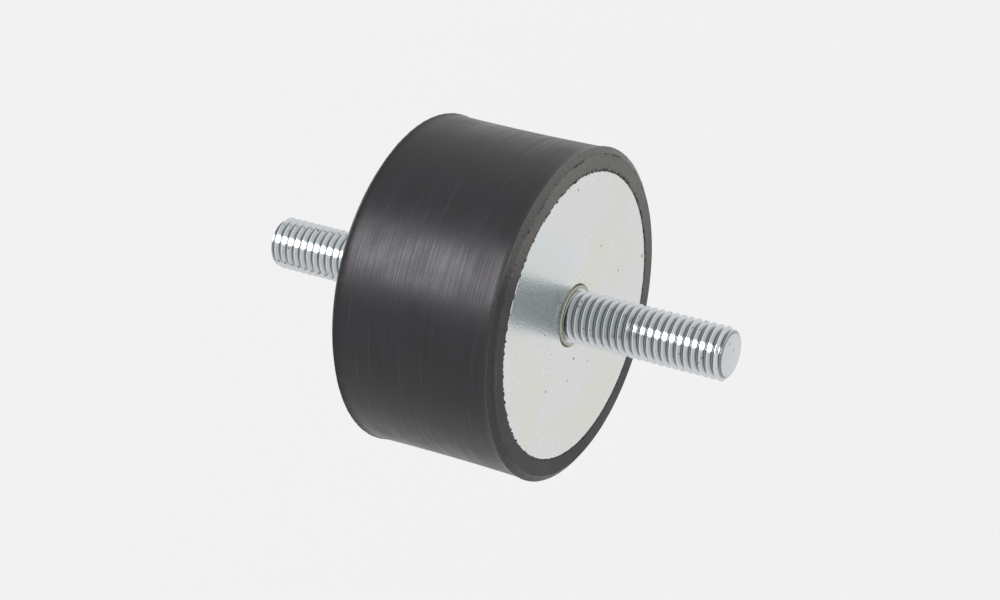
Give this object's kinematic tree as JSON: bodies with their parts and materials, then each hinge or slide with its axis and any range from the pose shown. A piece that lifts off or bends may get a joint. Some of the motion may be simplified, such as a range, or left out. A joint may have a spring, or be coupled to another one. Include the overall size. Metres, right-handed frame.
{
  "type": "bobbin vibration mount",
  "caption": "Round rubber bobbin vibration mount: a short rubber block bonded between steel discs, with a threaded stud standing out on the axis at each end.",
  "frame": {"origin": "centre of the lower disc's seating face, on the stud axis", "axes": "+Z along the stud axis from the lower stud to the upper stud; X and Y are free, because the part is turned about Z"},
  "size_m": [0.075, 0.075, 0.114],
  "materials": {
    "rubber": "moulded charcoal rubber, semi-gloss",
    "disc_steel": "zinc-plated steel, satin",
    "stud_steel": "bright zinc-plated steel, rolled thread"
  },
  "bodies": {
    "root": {"rubber_body": "rubber", "upper_plate": "disc_steel", "lower_plate": "disc_steel", "upper_stud": "stud_steel", "lower_stud": "stud_steel"}
  },
  "joints": []
}
